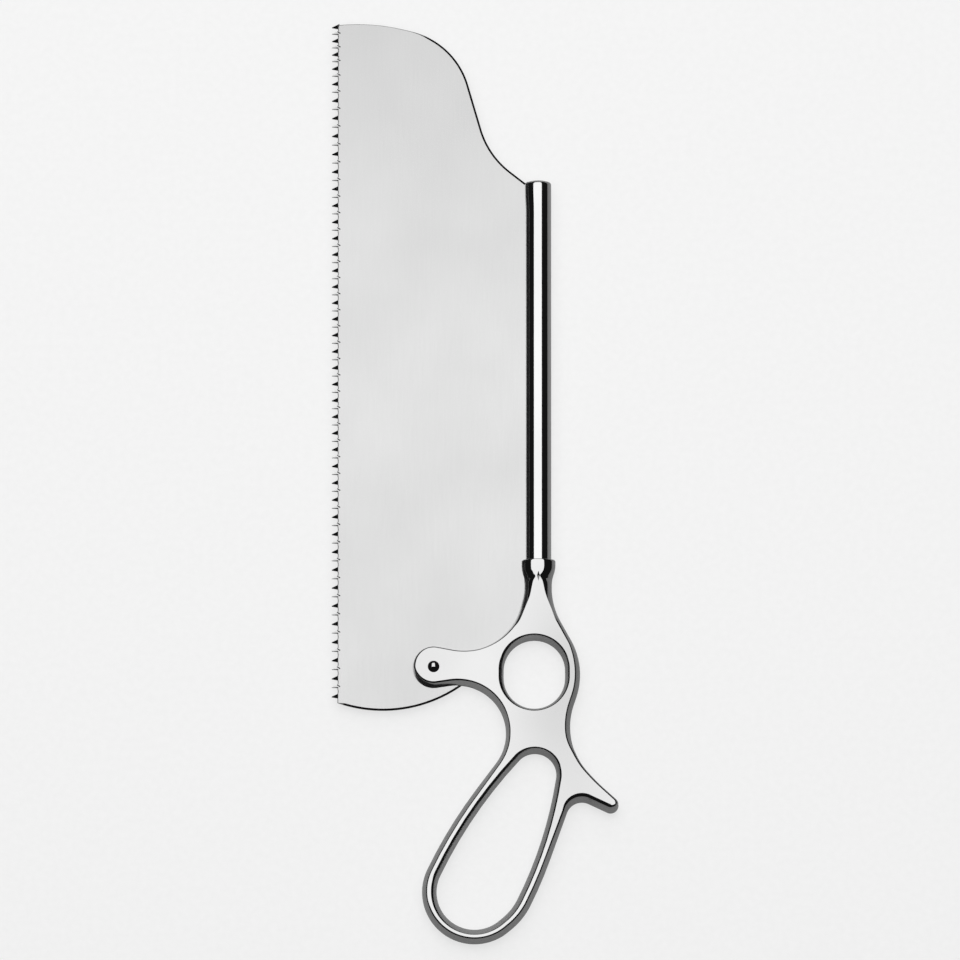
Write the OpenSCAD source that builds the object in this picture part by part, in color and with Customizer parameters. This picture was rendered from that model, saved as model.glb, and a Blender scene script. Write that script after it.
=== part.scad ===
// Autopsy saw, lying flat: teeth to the left (-X), blade's tip up the page (+Y),
// thickness along Z. It is drawn from the rod's axis, the collar's top and the blade's
// middle plane, then moved so that its origin is the middle of its box's underside.
// Outlines are belts round wheels: [centre x, centre y, radius], walked with the metal
// on the left, where a negative radius is a wheel that the metal bends round.

/* [Blade] */
// Rod's axis to the points of the teeth
blade_reach = 75.7; // [70:0.1:85]
// Collar's top to the top of the blade
blade_top = 198.2; // [190:0.1:215]
// Collar's top down to the lowest point of the blade
blade_drop = 55.7; // [52:0.1:60]
// Thickness of the sheet
blade_t = 1.2; // [0.8:0.05:1.4]
// Radius of the blade's long top edge
top_r = 70; // [60:1:90]
// Radius of the rounded shoulder of the tip
shoulder_r = 28.7; // [24:0.1:30]
// Radius of the hollow that runs down to the rod
hollow_r = 28.3; // [24:0.1:32]
// Radius of the rounded lower end
heel_r = 50; // [45:0.5:60]

/* [Teeth] */
// Collar's top down to the point of the lowest tooth
first_tooth_drop = 50.5; // [48:0.1:52]
// Collar's top up to the point of the highest tooth
last_tooth_top = 197.1; // [190:0.1:214]
// Number of gaps between the teeth
tooth_gaps = 80; // [60:2:90]
// Height of a tooth above the gullet line
tooth_h = 2.1; // [1.5:0.05:2.6]
// How far a tooth's point stands out of the sheet's face
tooth_set = 0.25; // [0.1:0.05:0.4]
// Radius of the round file that cuts the gullets
gullet_r = 0.8; // [0.5:0.05:0.9]
// How deep the file bites behind the gullet line
gullet_bite = 0.25; // [0.1:0.05:0.4]

/* [Back rod] */
// Diameter of the rod
rod_d = 9.4; // [8:0.1:11]
// Length of the rod above the collar
rod_h = 140.5; // [130:0.5:150]
// Radius of the rod's rounded tip edge
rod_round = 1.2; // [0.5:0.1:2]
// Width of the slot for the blade, in the rod and in the handle
slot_w = 1.4; // [1:0.05:1.8]
// Rod's axis to the slot's floor
slot_floor = 0.7; // [0.3:0.1:1.5]
// Diameter of the spigot in the collar's socket
spigot_d = 6.5; // [5:0.1:7.5]
// Length of the spigot
spigot_h = 9; // [6:0.5:12]

/* [Handle] */
// Thickness of the handle between its flat faces
handle_t = 9.2; // [8:0.1:11]
// Width of the bevel on every edge of the handle
bevel_w = 1.9; // [1:0.1:2.2]
// Height of the plain edge left between the two bevels
edge_land = 0.5; // [0.3:0.1:1]
// Diameter of the collar
collar_d = 12.5; // [12:0.1:14]
// Thickness of the collar between its flat front and back
collar_t = 10.2; // [9.8:0.1:11.4]
// Diameter of the neck where it is thinnest, seen from the front
neck_w = 9.8; // [9:0.1:11]
// Collar's top down to the thinnest part of the neck
waist_drop = 10.4; // [9:0.1:12]
// Radius of the hollow from the neck to the arm
arm_cove_r = 23.1; // [20:0.1:26]
// Radius of the hollow from the neck to the ring's rim
neck_cove_r = 25.4; // [22:0.1:30]

/* [Finger ring] */
// Width of the opening at its narrowest
ring_w = 22.5; // [21:0.1:24]
// Height of the opening at its narrowest
ring_h = 25.1; // [23:0.1:27]
// Rod's axis to the middle of the ring, to the left
ring_left = 1.5; // [0:0.1:3]
// Collar's top down to the middle of the ring
ring_drop = 42.4; // [41:0.1:44]
// Width of the rim to the right of the opening
rim_w = 5.5; // [4.5:0.1:7]
// Outer radius of the rim
rim_r = 26.3; // [22:0.1:30]

/* [Lug and pivot] */
// Rod's axis to the pivot, to the left
pivot_left = 38.4; // [36:0.1:41]
// Collar's top down to the pivot
pivot_drop = 39.9; // [38:0.1:42]
// Radius of the lug's round end
lug_r = 7.6; // [7:0.1:9]
// Diameter of the pivot pin's shank
pin_d = 3.2; // [2.5:0.1:3.8]
// Diameter of the pin's domed heads
pin_head_d = 4.4; // [4:0.1:5.5]
// Height of a domed head
pin_head_h = 1.1; // [0.6:0.1:1.5]
// Depth of the countersink that each head fills
pin_sink = 0.5; // [0.3:0.1:1]

/* [Palm, loop and horn] */
// Width of the palm at its narrowest
palm_w = 23.4; // [21:0.1:27]
// Collar's top down to the left hollow of the palm
palm_drop = 64.3; // [62:0.1:68]
// Radius of the left hollow of the palm
palm_cove_r = 17.8; // [16:0.1:20]
// Radius of the right hollow above the horn
horn_cove_r = 24.7; // [20:0.1:27]
// Collar's top down to the right hollow of the palm
horn_cove_drop = 62; // [60:0.1:65]
// Width of the bar round the loop
bar_w = 5.2; // [4.8:0.1:7]
// Radius of the loop's lower end
loop_end_r = 13.7; // [12:0.1:16]
// Rod's axis to the middle of the loop's lower end, to the left
loop_end_left = 23.5; // [20:0.1:26]
// Collar's top down to the middle of the loop's lower end
loop_end_drop = 122.9; // [118:0.1:130]
// Radius of the loop's upper end
loop_top_r = 8.2; // [7:0.1:9.5]
// Collar's top down to the middle of the loop's upper end
loop_top_drop = 80; // [78:0.1:83]
// Radius of the loop's long right side
loop_right_r = 88; // [70:1:120]
// Radius of the loop's long left side
loop_left_r = 120; // [90:1:160]
// Rod's axis to the middle of the horn's round tip
horn_right = 26.4; // [24:0.1:29]
// Collar's top down to the middle of the horn's round tip
horn_drop = 90.6; // [88:0.1:93]
// Radius of the horn's round tip
horn_r = 2.9; // [2.5:0.1:3.6]
// Radius of the notch under the horn
notch_r = 5.6; // [5:0.1:7]

/* [Fits] */
// Running clearance of the pin in the blade, on the radius
pin_run = 0.05; // [0.02:0.01:0.1]
// Clearance of a fixed shank or spigot in its hole, on the radius
seat_gap = 0.01; // [0.005:0.005:0.05]
// Gap between the closed blade's rear edge and the slot's floor
stop_gap = 0.2; // [0.1:0.05:0.3]
// Gap between the swinging blade and the slot's end in the handle
swing_gap = 1; // [0.6:0.1:1.5]

/* [Hidden] */
$fn = 96;
// Overrun of every cut
over = 0.5;
// Largest distance of a belt's chord from its arc
chord_gap = 0.03;
// The same for a very small wheel, as a share of its radius
sag_share = 0.3;

// Blade: the gullet line, and the rear edge that stops at the slot's floor
gullet_x = -(blade_reach - tooth_h);
blade_back = -(slot_floor + stop_gap);
// Middle of the lower end, and where its round runs into the corner under the arm
heel_left = 57;
heel_angle = 308;
heel_corner_r = 1.5;
// Corner at the foot of the rear edge
back_corner_r = 8;
back_corner_drop = 14;
// Middles of the long top edge, of the shoulder and of the hollow that follows it
top_left = 66.5;
shoulder_left = 53.1;
shoulder_drop = 30.6;
hollow_right = 6.1;
hollow_drop = 30.8;
// Corner where the hollow meets the rear edge, inside the rod
tip_corner_r = 2;
tip_corner_drop = 5.1;
// How far the outline runs on past the teeth before the gullet line cuts it
beyond_teeth = 60;

// Teeth are filed by hand, wider apart at the heel: number of gaps from the lowest tooth
// and height of that tooth's point, both as shares
tooth_spacing_shares = [[0, 0], [0.25, 0.268], [0.5, 0.515], [0.75, 0.758], [0.9, 0.915], [1, 1]];
tooth_pitch = (last_tooth_top + first_tooth_drop) / tooth_gaps;
// What a tooth takes of the pitch below and above its point
below_share = 0.22;
above_share = 0.42;
// How deep a tooth's root lies in the sheet, and its share of the sheet's thickness
root_depth = 0.6;
root_share = 0.9;
// The gullet's middle, down from the point above it, as a share of the pitch
gullet_share = 0.4;

// Rod: chamfer of the spigot's end, and room under it in the socket
rod_r = rod_d / 2;
spigot_tip = 0.8;
socket_extra = 0.5;

// Collar: rounded rim, barrel under it and hollow down to the round core of the neck
half_t = handle_t / 2;
collar_r = collar_d / 2;
collar_round = 0.8;
barrel_r = 2.8;
barrel_drop = 3.1;
collar_cove_r = 1.8;
collar_cove_drop = 6.9;
neck_core_r = 4.35;
neck_core_drop = 12;
// Upper corners of the flat neck, inside the collar
neck_flare = 0.3;
neck_top_drop = 1.9;
neck_corner_r = 3;
neck_corner = [neck_w / 2 + neck_flare - neck_corner_r, -neck_top_drop - neck_corner_r];
// The cone that takes the corners off the neck below the collar
cone_gap = 0.05;
cone_top_r = half_t + cone_gap;
cone_slope_share = 0.17;
cone_h = 15;
cone_start = 4;
cone_outer_r = 9;
// Middles of the palm's left hollow, of the loop's upper end and of the notch
palm_left = 0.2;
loop_top_left = 1.3;
notch_left = 10.5;
notch_under = 5;

pivot = [-pivot_left, -pivot_drop];
// The slot's round end clears the blade's lower edge as that passes below the pivot
swing_r = blade_drop - pivot_drop + swing_gap;
horn_tip = [horn_right, -horn_drop, horn_r];
loop_end = [-loop_end_left, -loop_end_drop, loop_end_r];
loop_top = [-loop_top_left, -loop_top_drop, loop_top_r];

// Place of the drawing's zero point in the part's own frame
shift = [
    (blade_reach - horn_right - horn_r) / 2,
    (loop_end_drop + loop_end_r + bar_w - blade_top) / 2,
    max(collar_t / 2, half_t + pin_head_h)
];

function flat(p) = [p.x, p.y];
function unit(a) = [cos(a), sin(a)];
function wrapped(a) = a - 360 * floor(a / 360);

// Direction of the straight run from one wheel to the next
function heading(a, b) =
    let (d = flat(b) - flat(a))
    atan2(d.y, d.x) - asin(max(-1, min(1, (b.z - a.z) / norm(d))));

// Signed turn round a wheel, to the left on a positive radius
function turn(wheel, from, to) =
    wheel.z < 0 ? -wrapped(from - to) : wrapped(to - from);

function arc_steps(r, angle) =
    r == 0 ? 0 : ceil(abs(angle) / (2 * acos(1 - min(chord_gap / abs(r), sag_share))));

// Points of a belt, moved inwards by inset, as many at every inset
function belt(wheels, inset = 0) =
    let (n = len(wheels))
    [
        for (i = [0:n - 1])
            let (
                a = wheels[(i + n - 1) % n],
                b = wheels[i],
                from = heading(a, b),
                angle = turn(b, from, heading(b, wheels[(i + 1) % n])),
                steps = arc_steps(b.z, angle)
            )
            for (k = [0:steps])
                let (h = from + (steps == 0 ? 0 : angle * k / steps))
                flat(b) + (b.z - inset) * [sin(h), -cos(h)]
    ];

// Wheel of radius r that holds wheels a and b inside it and touches both, bulging to the
// right of the way from a to b
function wheel_round(a, b, r) =
    let (
        d = flat(b) - flat(a),
        length = norm(d),
        to_a = r - a.z,
        to_b = r - b.z,
        along = (to_a * to_a - to_b * to_b + length * length) / (2 * length),
        aside = sqrt(to_a * to_a - along * along),
        u = d / length,
        c = flat(a) + along * u + aside * [-u.y, u.x]
    )
    [c.x, c.y, r];

function wider(wheel, by) = [wheel.x, wheel.y, wheel.z + by];

loop_right = wheel_round(loop_end, loop_top, loop_right_r);
loop_left = wheel_round(loop_top, loop_end, loop_left_r);
loop_wheels = [loop_end, loop_right, loop_top, loop_left];

ring_reach = (ring_h - ring_w) / 2;
ring_wheels = [
    [-ring_left, -ring_drop - ring_reach, ring_w / 2],
    [-ring_left, -ring_drop + ring_reach, ring_w / 2]
];

handle_wheels = [
    [pivot.x, pivot.y, lug_r],
    [-palm_left - palm_w / 2 - palm_cove_r, -palm_drop, -palm_cove_r],
    wider(loop_left, bar_w),
    wider(loop_end, bar_w),
    wider(loop_right, bar_w),
    [horn_tip.x - notch_left, horn_tip.y - notch_under, -notch_r],
    horn_tip,
    [palm_w / 2 - palm_left + horn_cove_r, -horn_cove_drop, -horn_cove_r],
    [-ring_left + ring_w / 2 + rim_w - rim_r, -ring_drop, rim_r],
    [neck_w / 2 + neck_cove_r, -waist_drop, -neck_cove_r],
    [neck_corner.x, neck_corner.y, neck_corner_r],
    [-neck_corner.x, neck_corner.y, neck_corner_r],
    [-neck_w / 2 - arm_cove_r, -waist_drop, -arm_cove_r]
];

heel = [-heel_left, -blade_drop + heel_r, heel_r];
heel_corner = flat(heel) + (heel_r - heel_corner_r) * unit(heel_angle);
blade_wheels = [
    heel,
    [heel_corner.x, heel_corner.y, heel_corner_r],
    [blade_back - back_corner_r, -back_corner_drop, back_corner_r],
    [blade_back - tip_corner_r, rod_h - tip_corner_drop, tip_corner_r],
    [hollow_right, blade_top - hollow_drop, -hollow_r],
    [-shoulder_left, blade_top - shoulder_drop, shoulder_r],
    [-top_left, blade_top - top_r, top_r],
    [-top_left - beyond_teeth, blade_top - top_r, top_r / 2],
    [-top_left - beyond_teeth, -blade_drop + heel_r, heel_r / 2]
];

// Closed ring of triangular section that cuts one bevel along a belt. Its slanted face
// runs from the plain edge up to the flat face. side is 1 for the front, -1 for the back,
// and air is 1 where the air lies outside the belt, -1 where the belt is a hole.
module bevel_cutter(wheels, side, air) {
    rise = half_t - edge_land / 2;
    corners = [
        [-over, edge_land / 2 - over * rise / bevel_w],
        [bevel_w + over, half_t + over * rise / bevel_w],
        [-over, half_t + over * rise / bevel_w]
    ];
    rings = [for (c = corners) [for (p = belt(wheels, air * c.x)) [p.x, p.y, side * c.y]]];
    n = len(rings[0]);
    m = len(corners);
    quads = [
        for (j = [0:m - 1], i = [0:n - 1])
            let (
                i2 = (i + 1) % n,
                j2 = (j + 1) % m,
                quad = [j * n + i, j * n + i2, j2 * n + i2, j2 * n + i]
            )
            side * air > 0 ? quad : [for (k = [3:-1:0]) quad[k]]
    ];
    polyhedron(points = [for (r = rings, p = r) p], faces = quads, convexity = 8);
}

module bevels(wheels, air) {
    for (side = [-1, 1])
        bevel_cutter(wheels, side, air);
}

module hole(wheels) {
    linear_extrude(handle_t + 2 * over, center = true)
        polygon(belt(wheels));
    bevels(wheels, -1);
}

// Turns a profile of radius and height about the rod's axis
module turned_about_rod(wheels) {
    rotate([-90, 0, 0])
        rotate_extrude()
            polygon(belt(wheels));
}

// The collar is turned, then flattened at the front and back
module collar() {
    intersection() {
        turned_about_rod([
            [0, -neck_core_drop, 0],
            [neck_core_r, -neck_core_drop, 0],
            [neck_core_r + collar_cove_r, -collar_cove_drop, -collar_cove_r],
            [collar_r - barrel_r, -barrel_drop, barrel_r],
            [collar_r - collar_round, -collar_round, collar_round],
            [0, 0, 0]
        ]);
        cube([collar_d + over, 2 * (neck_core_drop + over), collar_t], center = true);
    }
}

// Takes the corners off the neck, on a cone about the rod's axis
module neck_cone() {
    turned_about_rod([
        [cone_top_r + cone_slope_share * cone_h, -cone_start - cone_h, 0],
        [cone_outer_r, -cone_start - cone_h, 0],
        [cone_outer_r, -cone_start, 0],
        [cone_top_r, -cone_start, 0]
    ]);
}

module palm_and_loop() {
    difference() {
        linear_extrude(handle_t, center = true)
            polygon(belt(handle_wheels));
        bevels(handle_wheels, 1);
        hole(ring_wheels);
        hole(loop_wheels);
        neck_cone();
    }
}

// Room for the blade at rest and over its swing
module blade_slot() {
    linear_extrude(slot_w, center = true)
        difference() {
            union() {
                polygon(belt(blade_wheels, -stop_gap));
                translate(pivot)
                    circle(swing_r);
            }
            translate([-blade_reach - beyond_teeth, over])
                square([2 * (blade_reach + beyond_teeth), blade_top]);
        }
}

// The pin's shank with its countersunk ends, grown by gap and run on past the faces
module pin_shank(gap = 0, beyond = 0) {
    flare = (pin_head_d - pin_d) / 2 / pin_sink;
    cylinder(r = pin_d / 2 + gap, h = handle_t + 2 * beyond, center = true);
    for (side = [0, 1])
        mirror([0, 0, side])
            translate([0, 0, half_t - pin_sink])
                cylinder(
                    r1 = pin_d / 2 + gap,
                    r2 = pin_d / 2 + gap + (pin_sink + beyond) * flare,
                    h = pin_sink + beyond
                );
}

module handle() {
    color("gainsboro")
        difference() {
            union() {
                palm_and_loop();
                collar();
            }
            blade_slot();
            rotate([90, 0, 0])
                translate([0, 0, -over])
                    cylinder(r = spigot_d / 2 + seat_gap, h = spigot_h + socket_extra + over);
            translate([pivot.x, pivot.y, 0])
                pin_shank(seat_gap, over);
        }
}

module back_rod() {
    color("silver")
        difference() {
            turned_about_rod([
                [0, -spigot_h, 0],
                [spigot_d / 2 - spigot_tip, -spigot_h, 0],
                [spigot_d / 2, -spigot_h + spigot_tip, 0],
                [spigot_d / 2, 0, 0],
                [rod_r, 0, 0],
                [rod_r - rod_round, rod_h - rod_round, rod_round],
                [0, rod_h, 0]
            ]);
            translate([-rod_d, -spigot_h - over, -slot_w / 2])
                cube([rod_d - slot_floor, spigot_h + rod_h + 2 * over, slot_w]);
        }
}

function tooth_y(i) =
    -first_tooth_drop
    + (last_tooth_top + first_tooth_drop) * lookup(i / tooth_gaps, tooth_spacing_shares);

// One tooth: its root lies inside the sheet and its point leans out past one face
module tooth(y, side) {
    half = blade_t / 2;
    root_x = gullet_x + root_depth;
    root_half = half * root_share;
    low = y - below_share * tooth_pitch;
    high = y + above_share * tooth_pitch;
    polyhedron(
        points = [
            [root_x, low, -root_half],
            [root_x, high, -root_half],
            [root_x, high, root_half],
            [root_x, low, root_half],
            [-blade_reach, y, side * (half + tooth_set)]
        ],
        faces = [[0, 3, 2, 1], [0, 1, 4], [1, 2, 4], [2, 3, 4], [3, 0, 4]]
    );
}

module blade() {
    color("lightgray")
        difference() {
            union() {
                linear_extrude(blade_t, center = true)
                    intersection() {
                        polygon(belt(blade_wheels));
                        translate([gullet_x, -blade_drop - over])
                            square([blade_reach, blade_drop + blade_top + 2 * over]);
                    }
                for (i = [0:tooth_gaps])
                    tooth(tooth_y(i), i % 2 == 0 ? -1 : 1);
            }
            for (i = [0:tooth_gaps])
                translate([
                    gullet_x + gullet_bite - gullet_r,
                    tooth_y(i) - gullet_share * tooth_pitch,
                    -blade_t
                ])
                    cylinder(r = gullet_r, h = 2 * blade_t);
            translate([pivot.x, pivot.y, -blade_t])
                cylinder(r = pin_d / 2 - seat_gap + pin_run, h = 2 * blade_t);
        }
}

module pivot_pin() {
    head_r = pin_head_d / 2;
    dome_r = (head_r * head_r + pin_head_h * pin_head_h) / (2 * pin_head_h);
    color("silver")
        translate([pivot.x, pivot.y, 0]) {
            pin_shank();
            for (side = [0, 1])
                mirror([0, 0, side])
                    translate([0, 0, half_t])
                        intersection() {
                            cylinder(r = head_r, h = pin_head_h);
                            translate([0, 0, pin_head_h - dome_r])
                                sphere(dome_r);
                        }
        }
}

translate(shift) handle();
translate(shift) back_rod();
translate(shift) blade();
translate(shift) pivot_pin();
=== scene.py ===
import math

import bmesh
import bpy
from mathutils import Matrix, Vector


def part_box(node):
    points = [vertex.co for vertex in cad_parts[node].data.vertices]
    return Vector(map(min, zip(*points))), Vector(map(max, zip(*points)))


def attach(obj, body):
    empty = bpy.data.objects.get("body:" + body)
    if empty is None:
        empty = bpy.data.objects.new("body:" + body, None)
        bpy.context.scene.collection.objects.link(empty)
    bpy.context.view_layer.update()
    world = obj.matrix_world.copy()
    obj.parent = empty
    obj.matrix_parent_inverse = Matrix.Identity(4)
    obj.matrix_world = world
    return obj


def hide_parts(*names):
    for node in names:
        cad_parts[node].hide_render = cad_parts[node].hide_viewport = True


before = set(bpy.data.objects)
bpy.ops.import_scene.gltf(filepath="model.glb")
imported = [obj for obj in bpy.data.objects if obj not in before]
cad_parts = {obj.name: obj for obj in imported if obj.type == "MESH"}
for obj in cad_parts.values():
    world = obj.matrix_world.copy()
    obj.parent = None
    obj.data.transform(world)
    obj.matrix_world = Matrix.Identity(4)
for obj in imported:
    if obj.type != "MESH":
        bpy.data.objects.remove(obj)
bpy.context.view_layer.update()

# Sizes are in millimetres and measured as on the part's own drawing: x from the rod's
# axis, y from the collar's top, z from the blade's middle plane.
MM = 0.001
PIVOT = Vector((-38.4, -39.9))
pin_low, pin_high = (Vector(corner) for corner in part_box("pivot_pin"))
ORIGIN = (pin_low + pin_high) / 2 - MM * PIVOT.to_3d()
# Angle between neighbouring points of an outline's arcs
ARC_STEP = math.radians(2.5)
# Steps round a full circle, round a turned piece, and round the pin
CIRCLE_STEPS = 96
PIN_STEPS = 48

# Handle: half its thickness, and half the height of the rim between its two bevels
HALF_T = 4.6
EDGE_HALF = 0.25
BAR_W = 5.3
# Outlines are belts round wheels of [x, y, radius]. The metal bends round a wheel whose
# radius is negative.
LUG_WHEEL = (PIVOT.x, PIVOT.y, 7.6)
PALM_W = 23.4
PALM_X = -0.2
PALM_Y = -64.3
PALM_COVE_R = 17.8
LOOP_END = (-23.4, -122.6, 13.9)
LOOP_BELLY = (-26.6, -115.9, 21.1)
LOOP_TOP = (-1.3, -79.5, 7.85)
LOOP_RIGHT_R = 153
LOOP_LEFT_R = 172
HORN_NOTCH = (15.9, -95.4, -5.8)
HORN_TIP = (26.4, -90.7, 2.9)
HORN_COVE = (66.7, -37.1, -63.9)
PALM_RIGHT_COVE = (36.9, -61.7, -25.3)
RING_W = 22.5
RING_H = 25.1
RING_X = -1.5
RING_Y = -42.4
RIM_W = 5.5
RIM_R = 26.3
NECK_W = 9.8
NECK_COVE_R = 25.4
NECK_LEFT_COVE = (-21.2, -10.2, -16)
ARM_COVE = (-27.7, -11.9, -21.9)
# The outline ends at the neck's waist. Two wheels above it only close the belt.
WAIST_Y = -10.4
CLOSING_WHEEL = (2.2, -4.9, 3)

# Bevels: width where the edge faces sideways, towards the loop's end and towards the
# blade's tip, then the radius of the polished corner on the sides and elsewhere
OUTLINE_BEVEL = (2.2, 2.05, 2.3, 1.0, 0.7)
ARM_BEVEL = (2.1, 2.3, 1.1, 1.0, 0.7)
LUG_BEVEL = (1.3, 2.25, 1.0, 1.0, 0.9)
PALM_BEVEL = (2.0, 2.4, 2.0, 0.9, 0.7)
HORN_BEVEL = (1.6, 3.2, 1.0, 1.2, 1.8)
RING_BEVEL = (2.2, 2.25, 1.6, 1.3, 0.7)
LOOP_BEVEL = (2.4, 2.25, 2.7, 1.3, 0.7)
# Places where the outline's bevel is another: middle, radii of the change, and bevel
BEVEL_ZONES = [
    (Vector((-12, -62)), 10, 24, PALM_BEVEL),
    (Vector((-15, -20)), 25, 40, ARM_BEVEL),
    (PIVOT, 9, 20, LUG_BEVEL),
    (Vector((20, -84)), 12, 22, HORN_BEVEL),
]
# Corners of a hole that face right are rounder by this, and the bevel is wider there by
# a share of it
RIGHT_R = 0.9
RIGHT_SHARE = 0.27
# A corner's radius is at most this share of the bevel's width
CORNER_SHARE = 0.9
# Turn of the slightly round wall of a bevel
WALL_TURN = math.radians(14)
WALL_STEPS = 6
CORNER_STEPS = 8
FIRST_TILT = math.radians(60)
TILT_ROUNDS = 20
# Width of the narrow strip that keeps the flat's shading level beside a bevel
SUPPORT = 0.06

# The neck up to the collar, measured on the picture: height, half width, half depth, half
# width of the flat, and how far its round sides turn into slopes that rise to a ridge
NECK = [
    (-25, 9, HALF_T, 8.0, 0),
    (-21.5, 7.4, HALF_T, 6.3, 0),
    (-19.2, 6.5, HALF_T, 5.3, 0),
    (-17, 5.9, HALF_T, 4.4, 0),
    (-14.8, 5.4, HALF_T, 3.5, 0),
    (-12.5, 5.1, HALF_T, 2.7, 0),
    (-10.4, 5.05, HALF_T, 2.15, 0.1),
    (-8.6, 5.08, HALF_T, 1.7, 0.5),
    (-7.4, 5.2, HALF_T, 1.3, 1),
    (-6.7, 5.34, HALF_T, 0.7, 0.8),
    (-5.4, 5.7, 4.6, 0.5, 0.3),
    (-4.2, 6.0, 4.64, 0.4, 0.05),
    (-3, 6.2, 4.73, 0.3, 0),
    (-1.5, 6.25, 4.79, 0.3, 0),
    (-0.8, 6.25, 4.8, 0.3, 0),
]
FLAT_COLUMN = 3
RIDGE_COLUMN = 4
NECK_STEPS = 24
# The neck's flat runs out into the handle's below this
NECK_BLEND_TOP = -18
# The neck's middle lies aside by this up to the first height, and not at all from the second
NECK_ASIDE = -0.15
ASIDE_UP_TO = -8
STRAIGHT_FROM = -2
# Slope of the ridge beside its flat
RIDGE_TILT = math.radians(27)
COLLAR_ROUND = 0.8
COLLAR_LIP = 0.3
COLLAR_STEPS = 6
# A small pointed nick where the flat runs out under the collar: its ends and its widest
# place along Y, half its width, and how high its mouth and its point lie
NICK_TOP_Y = -3.5
NICK_Y = -6.2
NICK_LOW_Y = -9.6
NICK_HALF_W = 0.85
NICK_MOUTH_Z = 5.3
NICK_POINT_Z = 3.5

# Slots for the blade: half their width, and their clearance round the blade
SLOT_HALF = 0.7
SLOT_GAP = 0.2
SWING_GAP = 1

# Blade: half its thickness, its reach to the teeth's points, and its ends
BLADE_HALF = 0.6
REACH = 75.7
BLADE_TOP = 198.2
BLADE_DROP = 55.7
BLADE_BACK = -0.9
HEEL_R = 50
HEEL = (-57, HEEL_R - BLADE_DROP, HEEL_R)
HEEL_ANGLE = math.radians(308)
HEEL_CORNER_R = 1.5
BACK_LOW_R = 8
BACK_LOW_Y = -14
BACK_HIGH_R = 2
BACK_HIGH_Y = 135.4
TIP_COVE = (8.4, BLADE_TOP - 30.4, -30.5)
TIP_SHOULDER = (-53.2, BLADE_TOP - 30.4, 28.6)
TIP_CREST = (-66.4, BLADE_TOP - 73.3, 73.4)
# Two wheels beyond the teeth only close the belt
BEYOND_TOP = (-126.5, BLADE_TOP - 70, 35)
BEYOND_LOW = (-126.5, HEEL_R - BLADE_DROP, 25)
# Width and height of the ground edge. Near the top, where the edge faces the tip by more
# than EDGE_UP_SHARE, it narrows by NARROWED_SHARE. Along the teeth it keeps TOOTHED_SHARE.
EDGE_W = 0.75
EDGE_DROP = 0.5
EDGE_SUPPORT_SHARE = 1.5
EDGE_UP_SHARE = 0.86
NARROWED_SHARE = 0.7
TOOTHED_SHARE = 0.4
TOOTHED_W = 1
# Faces that are flatter than this keep the sheet's satin, the others are bright
FLAT_SHARE = 0.97
BLADE_SMOOTH_ANGLE = 25

# Teeth
FIRST_TOOTH_Y = -50.5
LAST_TOOTH_Y = 197.1
# Number of gaps between the teeth
TEETH = 80
# The teeth are filed by hand: share of their number and share of the toothed length
TOOTH_SHARES = [(0, 0), (0.25, 0.268), (0.5, 0.515), (0.75, 0.758), (0.9, 0.915), (1, 1)]
TOOTH_H = 2.1
TOOTH_BELOW = 0.7
TOOTH_ABOVE = 1.25
TOOTH_SET = 0.25
TOOTH_ROOT = 0.6
ROOT_SHARE = 0.95
TIP_BELOW = 0.15
TIP_ABOVE = 0.15
TIP_T = 0.1
UNDERCUT = 0.4
GULLET_BITE = 0.12
GULLET_STEPS = 6
# The burr behind a near tooth: each corner's way in and up from the point, and its height
# as a share of half the sheet's thickness
BURR = [(1.85, 0.7, 0.98), (1.95, 1.1, 1.24), (3.15, 0.5, 1.24), (3.0, 0.1, 0.98)]
BURR_ROOT_SHARE = 0.5

# Rod. Its rim and its dome are arcs between angles in degrees.
ROD_R = 4.7
ROD_H = 140.4
ROD_ROUND = 1.1
ROD_ROUND_END = 75
ROD_ROUND_STEPS = 8
DOME_R = 10
DOME_H = 0.65
DOME_START = 70
DOME_END = 89
DOME_STEPS = 6
SPIGOT_R = 3.2
SPIGOT_H = 9
# Height of the sharp seam at the rod's foot, and of the first ring above it
SEAM = 0.01
FOOT_H = 0.3
# The slot's lips are sprung open along their last stretch
LIP_L = 12
LIP_RINGS = 9
LIP_SPRING = 0.3
SPRING_END = 3
LIP_FROM_X = -1
LIP_TO_X = -4
# The rod's slot: its floor, and how far its cutter runs past the rod
ROD_SLOT_X = -0.7
CUTTER_X = -9
CUTTER_LOW = -12
CUTTER_BEYOND = 3

# Pin. Two powers make the domes of its heads steeper towards the rim than a ball.
SHANK_R = 1.6
HEAD_R = 2.5
HEAD_H = 1.1
HEAD_SINK = 0.5
HEAD_STEPS = 14
HEAD_TOP_R = 0.02
DOME_POWERS = (1.7, 0.8)

SMOOTH_ANGLE = 35
MERGE_GAP = 0.0001

# Steel: range of its grey and of its roughness, grain and relief
STEEL_GREY = (0.53, 0.58)
CHROME_GREY = (0.6, 0.64)
SATIN_GREY = (0.5, 0.54)
POLISHED = (0.03, 0.07)
BRUSHED = (0.2, 0.28)
EVEN_GRAIN = (900, 900, 900)
LONG_GRAIN = (3000, 90, 900)
POLISHED_RELIEF = 0.02
BRUSHED_RELIEF = 0.05
RELIEF_DEPTH = 0.0001
GRAIN_DETAIL = 4
CLOUD_SCALE = 25
CLOUD_SHARES = (0.3, 0.7)
# Polished walls that are seen side-on get rougher by this, from the first facing share
# to the second
SIDE_ROUGHNESS = 0.16
SIDE_SHARES = (0.25, 0.5)
# Painted shade: share of its brightness that the blade keeps at its tip, and the heights of
# that fade
TIP_SHARE = 0.88
TIP_FADE_FROM_Y = 60
TIP_FADE_TO_Y = 215
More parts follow.
